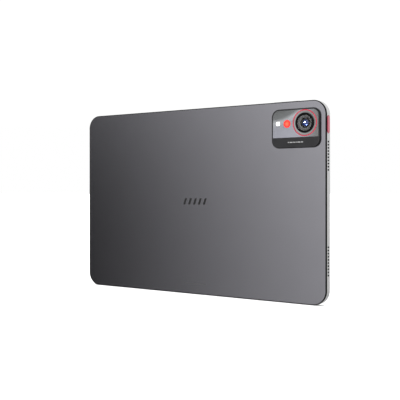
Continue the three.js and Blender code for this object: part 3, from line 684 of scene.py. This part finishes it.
def flash_lamp(flash):
    # Painted glow: a faint emission keeps the flash lens white though it is no lamp.
    WHITE_LENS_PAINTED_GLOW.shader.inputs["Emission Color"].default_value = (1, 0.98, 0.95, 1)
    WHITE_LENS_PAINTED_GLOW.shader.inputs["Emission Strength"].default_value = 0.35
    outline = rounded_outline((flash.x0, flash.x1), (flash.z0, flash.z1), FLASH_CORNER)
    front = arc((0.15, flash.y0 + 0.15), 0.15, 180, 270, 4)
    profile = [(0.03, flash.y1), (0, flash.y1 - 0.03), *front, (0.3, flash.y0)]
    ridge = [(0, 0.02), (0, -0.03), (-0.1, -0.06), (-0.2, 0.02)]
    ridges = []
    for radius in (0.5, 0.95, 1.4):
        ridges.append(turned((flash.x, flash.z), [(radius + r, flash.y0 + w) for r, w in ridge]))
    lens = loft("y", outline, profile)
    piece("flash_lens", [lens], WHITE_LENS_PAINTED_GLOW.material, stands_for=["flash_window"])
    piece("flash_ridges", ridges, WHITE_LENS_PAINTED_GLOW.material)


def accent_hoop(outer, inner):
    ring = Box("accent_ring")
    profile = [
        (inner, ring.y1),
        *arc((inner + 0.12, ring.y0 + 0.1), 0.1, 180, 270, 3),
        *arc((outer - 0.12, ring.y0 + 0.1), 0.1, 270, 360, 3),
        (outer, ring.y1),
    ]
    hoop = turned(LENS, profile, steps=FINE)
    piece("accent_hoop", [hoop], RING_METAL.material, closed=True, stands_for=["accent_ring"])


def lens_step(outer):
    start = BEZEL_RADIUS + 0.15
    profile = [
        (start, FACE + 0.1),
        (start, FACE - 0.02),
        (outer - 0.1, FACE - 0.1),
        (outer, FACE - 0.06),
        (outer, FACE + 0.1),
    ]
    piece("lens_step", [turned(LENS, profile, steps=FINE)], STEP_METAL.material, closed=True)


def bezel_ring():
    top, base = BEZEL.y0, BEZEL.y1
    inner = Box("lens_window").x1 - LENS[0] + 0.1
    profile = [
        (BEZEL_RADIUS, base),
        *arc((BEZEL_RADIUS - 0.25, top + 0.25), 0.25, 0, -90, 5),
        (inner + 0.55, top),
        (inner + 0.4, top + 0.1),
        (inner, top + 0.45),
        (inner, base),
    ]
    ring = turned(LENS, profile, steps=FINE)
    piece("bezel_ring", [ring], BEZEL_METAL.material, closed=True, stands_for=["lens_bezel"])


def camera_rings():
    ring = Box("accent_ring")
    outer = (ring.x1 - ring.x0) / 2
    inner = outer - ACCENT_WIDTH
    accent_hoop(outer, inner)
    lens_step(inner - 0.1)
    bezel_ring()


def window_disc():
    window = Box("lens_window")
    clear = Look("clear_window", Roughness=0.02, Alpha=0.1, Coat_Weight=0.5, Coat_Roughness=0.02)
    clear.colour(clear.ramp(clear.noise(6), (0.3, shade(0.02, COOL)), (0.7, shade(0.03, COOL))))
    radius = (window.x1 - window.x0) / 2
    profile = [
        (0, window.y1),
        (radius - 0.05, window.y1),
        (radius, window.y1 - 0.05),
        (radius, window.y0 + 0.08),
        (radius - 0.08, window.y0),
        (radius - 0.5, window.y0),
        (0, window.y0),
    ]
    disc = turned(LENS, profile)
    piece("window_disc", [disc], clear.material, stands_for=["lens_window"])


def lens_baffle():
    """Four shallow treads run down towards the lens, with risers between them painted near-black as shade."""
    shroud = Box("lens_shroud")
    front = shroud.y0
    outer = (shroud.x1 - shroud.x0) / 2
    profile = [(outer, front), (outer, front + 1.0), (BARREL_BORE, front + 1.0), (BARREL_BORE, front + 0.62)]
    risers = []
    for i in range(4):
        r = outer - 1.35 + TREAD_RUN * i
        level = front + 0.5 - TREAD_RISE * i
        risers.append((1, len(profile) + 1, len(profile) + 2))
        profile += [(r - 0.35, level + 0.03), (r - 0.1, level), (r, level - 0.1)]
    piece(
        "lens_baffle",
        [turned(LENS, profile, steps=FINE)],
        [SHROUD_METAL.material, RECESS_PAINTED_SHADE.material],
        closed=True,
        bands=risers,
        stands_for=["lens_shroud"],
        sharp=20,
    )


def barrel_and_lens():
    barrel, lens = Box("lens_barrel"), Box("front_lens")
    front = barrel.y0
    profile = [
        (0, barrel.y1),
        (3.9, barrel.y1),
        *arc((3.8, front + 0.1), 0.1, 0, -90, 3),
        (3.2, front),
        (3.05, front + 0.12),
        (2.95, front + 0.12),
        (2.8, front + 0.35),
        (2.72, front + 0.6),
        (0, front + 0.6),
    ]
    piece(
        "barrel_turned",
        [turned(LENS, profile)],
        BLACK_PLASTIC.material,
        body=CARRIAGE,
        stands_for=["lens_barrel"],
    )
    dome = domed(FRONT_LENS_RADIUS, lens.y0, FRONT_LENS_RISE)
    piece(
        "lens_dome",
        [turned(LENS, [*dome, (FRONT_LENS_RADIUS, lens.y1), (0, lens.y1)])],
        LENS_BLUE.material,
        body=CARRIAGE,
        stands_for=["front_lens"],
    )


def lens_stack():
    window_disc()
    lens_baffle()
    barrel_and_lens()


# ---------- Keys ----------


def key(name, axis, middle, length, face, proud, material, slot, node, pins, gap):
    """A key cap with its flange and pins.

    axis is the way it faces, and face is the tablet's outer surface there.
    """

    def area(along, radius):
        """The outline of a part of the key, and this long."""
        sides = (span(SIDE_LINE, KEY_WIDTH), span(middle, along))
        u, v = sides if axis == "x" else reversed(sides)
        return rounded_outline(u, v, radius, 10)

    inside = face - WALL - gap
    top = face + proud
    crown = [(0, inside - 0.1), *arc((0.35, top - 0.35), 0.35, 180, 90, 6), (0.9, top + 0.03)]
    cap = loft(axis, area(length, KEY_WIDTH / 2 - 0.1), crown)
    flange = loft(axis, area(length + 2.4, 0.6), [(0, inside - 0.6), (0, inside)])
    tip = face - WALL - PIN_LENGTH
    pin = [(0.7, tip), (0.8, tip + 0.1), (0.8, inside - 0.5)]
    stems = []
    for offset in pins:
        centre = (SIDE_LINE, middle + offset) if axis == "x" else (middle + offset, SIDE_LINE)
        stems.append(turned(centre, pin, axis, 24))
    piece(name + "_cap", [cap], material, body=node, stands_for=[node])
    piece(name + "_stem", [flange, *stems], material, body=node)


def keys():
    key(
        "power", "x", POWER.z, POWER_LENGTH, BAND.x1, POWER.x1 - BAND.x1,
        RED_METAL.material, "red_metal", "power_button", pins=[0], gap=0.1,
    )
    key(
        "volume", "z", VOLUME.x, VOLUME_LENGTH, BAND.z1, VOLUME.z1 - BAND.z1,
        FRAME_METAL.material, "frame_metal", "volume_rocker", pins=[-7.5, 7.5], gap=0.4,
    )


# ---------- Ports ----------


def usb_port():
    sleeve, tongue = Box("usb_c_shell"), Box("usb_c_tongue")
    u, v = (sleeve.y0, sleeve.y1), (sleeve.z0, sleeve.z1)
    lip = sleeve.x0 + 0.12
    profile = [
        (0, sleeve.x1),
        (0, lip),
        *arc((PORT_SHEET / 2, lip), 0.12, 180, 360, 6),
        (PORT_SHEET, lip),
        (PORT_SHEET, sleeve.x1 - 0.5),
    ]
    tube = loft("x", rounded_outline(u, v, (u[1] - u[0]) / 2, 16), profile)
    piece("port_sleeve", [tube], STEEL.material, stands_for=["usb_c_shell"])
    outline = rounded_outline((tongue.y0, tongue.y1), (tongue.z0, tongue.z1), 0.3, 6)
    nose = [(0, tongue.x1), (0, tongue.x0 + 0.2), (0.1, tongue.x0 + 0.05), (0.2, tongue.x0)]
    blade = loft("x", outline, nose)
    piece("port_tongue", [blade], BLACK_PLASTIC.material, stands_for=["usb_c_tongue"])
    pads = []
    for i in range(PORT_PADS):
        z = tongue.z + (i - (PORT_PADS - 1) / 2) * PORT_PAD_PITCH
        for y in (tongue.y0, tongue.y1):
            strip = rounded_outline(span(y, 0.06), span(z, 0.25), 0.02, 2)
            pads.append(loft("x", strip, [(0, tongue.x0 + 0.6), (0, tongue.x1 - 1)]))
    piece("port_contacts", pads, GOLD.material)


def keyboard_contacts():
    strip = Box("contact_insert")
    plug = rounded_outline(span(strip.x, STRIP[0] - 0.2), span(SIDE_LINE, STRIP[1] - 0.2), 1.4, 10)
    rim = rounded_outline((strip.x0, strip.x1), (strip.y0, strip.y1), 1, 10)
    pads = [Box(f"contact_pad_{i + 1}") for i in range(3)]
    bore = [(PAD_RADIUS + SEAM, strip.z0 - PAST), (PAD_RADIUS + SEAM, strip.z1 + PAST)]
    bores = [turned((pad.x, pad.y), bore, "z", 32) for pad in pads]
    profile = [(0.3, strip.z0), (0.1, strip.z0 + 0.03), (0, strip.z0 + 0.12), (0, strip.z1 - 0.7)]
    piece(
        "contact_strip",
        [loft("z", plug, profile)],
        BLACK_PLASTIC.material,
        cutters=bores,
        stands_for=["contact_insert"],
    )
    flange = loft("z", rim, [(0, strip.z1 - 0.8), (0, strip.z1)])
    piece("contact_flange", [flange], BLACK_PLASTIC.material, cutters=bores)
    for i, pad in enumerate(pads):
        face = [(0, pad.z0), (0.6, pad.z0 + 0.01), *arc((0.95, pad.z0 + 0.17), 0.15, -90, 0, 4)]
        stud = turned((pad.x, pad.y), [*face, (PAD_RADIUS, pad.z1), (0, pad.z1)], "z", 40)
        node = f"contact_pad_{i + 1}"
        piece(f"contact_stud_{i + 1}", [stud], GOLD.material, stands_for=[node])


# ---------- Printed marks ----------


def slanted(x):
    """The outline of one slanted bar of the rear mark."""
    width, height = MARK_BAR
    upright = rounded_outline(span(x, width), span(COVER.z, height), 0.5, 6)
    return lambda inset: [(u + (v - COVER.z) * MARK_SLANT, v) for u, v in upright(inset)]


def prints():
    """Plain marks where the real object is printed: slanted bars, and rows of short dashes."""
    thick = [(0, COVER.y0 + 0.1), (0, COVER.y0 - PRINT_HEIGHT)]
    bars = [loft("y", slanted((i - 2) * MARK_PITCH), thick) for i in range(5)]
    piece("rear_mark", bars, PRINT_DARK.material)
    piece("rear_dashes", dashes(COVER.y0, **REAR_DASHES), PRINT_FAINT.material)
    piece("band_dashes", dashes(TRIM.y0, **BAND_DASHES), PRINT_LIGHT.material)


def dashes(face, middle, z, length, height):
    """A row of dashes of three lengths in turn, raised off a face that looks along -Y."""
    shells = []
    x = middle - length / 2
    turn = 0
    while x < middle + length / 2 - height:
        width = height * DASH_LENGTHS[turn % 3]
        bar = rounded_outline((x, x + width), span(z, height), height * 0.2, 2)
        shells.append(loft("y", bar, [(0, face + 0.05), (0, face - PRINT_HEIGHT)]))
        x += width + height * DASH_GAP
        turn += 1
    return shells


# ---------- Inner pieces ----------


def circuit_board():
    look = Look("circuit_board", Roughness=0.4, Coat_Weight=0.4)
    grid = {"Scale": 1.0, "Mortar Size": 0.03}
    tracks = look.texture("ShaderNodeTexBrick", 3.2, output="Fac", settings={"offset": 0.37}, **grid)
    pads = look.spread(look.cells(1.3), 1, 0, 0.12, 0.16)
    mask = look.ramp(look.noise(9), (0.35, (0.008, 0.05, 0.03)), (0.65, (0.012, 0.075, 0.045)))
    wired = look.blend(tracks, mask, (0.02, 0.13, 0.075))
    look.colour(look.blend(pads, wired, (0.7, 0.5, 0.2)))
    look.rough(look.noise(0.8), 0.3, 0.5)
    look.bump(tracks, 0.02, 0.5)
    return look


def flex_film():
    look = Look("flex_film", Roughness=0.35, Coat_Weight=0.3)
    lines = look.texture("ShaderNodeTexWave", 0.9, settings={"bands_direction": "Z"}, Scale=1.0)
    look.colour(look.ramp(lines, (0.45, (0.42, 0.17, 0.03)), (0.55, (0.60, 0.30, 0.09))))
    look.rough(look.noise(1.5), 0.28, 0.42)
    look.bump(lines, 0.01, 0.4)
    return look


def pouch_foil():
    look = Look("pouch_foil", Metallic=0.7, Roughness=0.4)
    creases = look.noise(7, (1, 1, 2.2), 6)
    look.colour(look.ramp(creases, (0.3, shade(0.025)), (0.7, shade(0.05, (1, 1, 1.06)))))
    look.rough(look.noise(2), 0.32, 0.5)
    look.bump(creases, 0.12, 0.5)
    return look


def woven_mesh():
    look = Look("woven_mesh", Roughness=0.8)
    weave = look.cells(0.16)
    look.colour(look.ramp(weave, (0.2, shade(0.035)), (0.55, shade(0.004))))
    look.rough(weave, 0.7, 0.9)
    look.bump(weave, 0.04, 0.8)
    return look


def carried_over():
    """Inner CAD nodes keep their shape and get their finish here."""
    corners = ("lower_left", "lower_right", "upper_left", "upper_right")
    antennas = ["wifi_antenna_left", "wifi_antenna_right"]
    shields = ["processor_shield", "power_shield"]
    switches = ["power_switch", "volume_switch_up", "volume_switch_down"]
    finishes = {
        BLACK_PLASTIC: [*antennas, "front_camera", *[f"speaker_box_{corner}" for corner in corners]],
        CONE_FILM: [f"speaker_cone_{corner}" for corner in corners],
        woven_mesh(): [f"speaker_mesh_{corner}" for corner in corners],
        DARK_METAL: ["focus_motor"],
        STEEL: [*shields, *switches, "board_screw_1", "board_screw_2", "board_screw_3"],
        SHEET_METAL: ["mid_plate"],
        TAPE: ["display_adhesive"],
        WHITE_FILM: ["backlight_unit"],
        WHITE_LENS_PAINTED_GLOW: ["flash_led"],
        LENS_BLUE: ["lcd_panel"],
        circuit_board(): ["main_board", "usb_board", "battery_board", "sensor_board"],
        flex_film(): ["display_flex", "camera_flex", "key_flex", "link_flex"],
        pouch_foil(): ["battery_cell_1", "battery_cell_2"],
    }
    for look, nodes in finishes.items():
        for node in nodes:
            for material_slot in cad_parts[node].material_slots:
                material_slot.material = look.material


# ---------- Studio ----------

FLAG = (58.5, -5)  # the middle of a dark flag: degrees from -Y towards -X, and up
FLAG_EDGE = (12.3, 45)  # where the flag begins to lighten, and where it ends, in degrees from its middle
ROOM_LEVEL = 1.08  # the room's light past the flag
LOW_LEVEL = 0.62  # how much of it comes from below
LOW_EDGE = (-0.2, 0.15)  # between these heights of a unit vector, the light grows to its full level

FLOOR_RADIUS = 20000
FLOOR_SUN = (5, 60)  # strength, and how many degrees wide

# The lens's highlights: each lamp's direction from it, in degrees, and its size, power and colour.
LENS_LIGHT = dict(direction=(34, 10), size=220, power=34, colour=(0.8, 1, 1))
LENS_FILL = dict(direction=(15, -19), size=280, power=26, colour=(0.22, 0.32, 1))

CAMERA_AT = (376.2, -543.5, 91.8)
CAMERA_TURN = 34.476  # degrees from +Y towards -X
CAMERA_LENS = 66.74
CAMERA_SHIFT = -0.0233


def heading(turn, rise):
    """A unit vector, from degrees turned from -Y towards -X and degrees up."""
    turn, rise = math.radians(turn), math.radians(rise)
    return Vector((-math.sin(turn) * math.cos(rise), -math.cos(turn) * math.cos(rise), math.sin(rise)))


def room():
    """A white room with one dark flag at the front left, which shades the rear face from left to right.

    The camera itself sees plain white.
    """
    world = bpy.data.worlds.new("studio")
    bpy.context.scene.world = world
    world.use_nodes = True
    sky = Nodes(world.node_tree)
    direction = sky.node("ShaderNodeTexCoord").outputs["Generated"]
    toward = sky.node("ShaderNodeVectorMath", operation="DOT_PRODUCT")
    toward.inputs[1].default_value = heading(*FLAG)
    sky.feed(direction, toward.inputs[0])
    angle = sky.maths("ARCCOSINE", toward.outputs["Value"], 0)
    start, end = (math.radians(edge) for edge in FLAG_EDGE)
    flag = sky.spread(angle, 0, ROOM_LEVEL, start, end, "SMOOTHSTEP")
    height = sky.spread(sky.split(direction)["Z"], LOW_LEVEL, 1, *LOW_EDGE)
    camera_ray = sky.node("ShaderNodeLightPath").outputs["Is Camera Ray"]
    level = sky.maths("MAXIMUM", sky.maths("MULTIPLY", flag, height), camera_ray)
    background = sky.tree.nodes["Background"]
    background.inputs["Color"].default_value = (1, 1, 1, 1)
    sky.feed(level, background.inputs["Strength"])


def floor_disc():
    disc = loft("z", round_outline(0, 0, FLOOR_RADIUS), [(0, -10), (0, -0.05)])
    floor = link("floor", mesh_of("floor", [disc]))
    pale = Look("floor_pale", Roughness=0.9)
    pale.colour(pale.ramp(pale.noise(400), (0.3, shade(0.90)), (0.7, shade(0.92))))
    floor.data.materials.append(pale.material)
    floor.visible_glossy = False
    return floor


def floor_sun(floor):
    data = bpy.data.lights.new("floor_light", "SUN")
    data.energy = FLOOR_SUN[0]
    data.angle = math.radians(FLOOR_SUN[1])
    only_for(link("floor_light", data), floor)


def softbox(name, direction, size, power, colour):
    """A round light, a metre away from the camera lens in the given direction."""
    data = bpy.data.lights.new(name, "AREA")
    data.shape = "DISK"
    data.size = size * MM
    data.energy = power
    data.color = colour
    lamp = link(name, data)
    away = heading(*direction)
    lamp.location = Vector((LENS[0], FACE, LENS[1])) * MM + away
    lamp.rotation_euler = (-away).to_track_quat("-Z", "Y").to_euler()
    lamp.visible_camera = False
    return lamp


def only_for(lamp, receiver):
    """Lets a lamp light this object and nothing else."""
    group = bpy.data.collections.new(lamp.name + "_receivers")
    group.objects.link(receiver)
    lamp.light_linking.receiver_collection = group


def studio():
    bpy.context.scene.view_settings.view_transform = "Standard"
    room()
    floor_sun(floor_disc())
    eye = bpy.data.objects["lens_dome"]
    only_for(softbox("lens_light", **LENS_LIGHT), eye)
    only_for(softbox("lens_fill", **LENS_FILL), eye)


def camera():
    data = bpy.data.cameras.new("camera")
    data.sensor_width = 36
    data.lens = CAMERA_LENS
    data.shift_y = CAMERA_SHIFT
    data.clip_start = 0.05
    data.clip_end = 30
    eye = link("camera", data)
    eye.location = Vector(CAMERA_AT) * MM
    eye.rotation_euler = (math.radians(90), 0, math.radians(CAMERA_TURN))
    bpy.context.scene.camera = eye


# ---------- Assembly ----------

camera()
rear_panel()
side_band()
screen()
island()
camera_rings()
lens_stack()
keys()
usb_port()
keyboard_contacts()
prints()
carried_over()
studio()
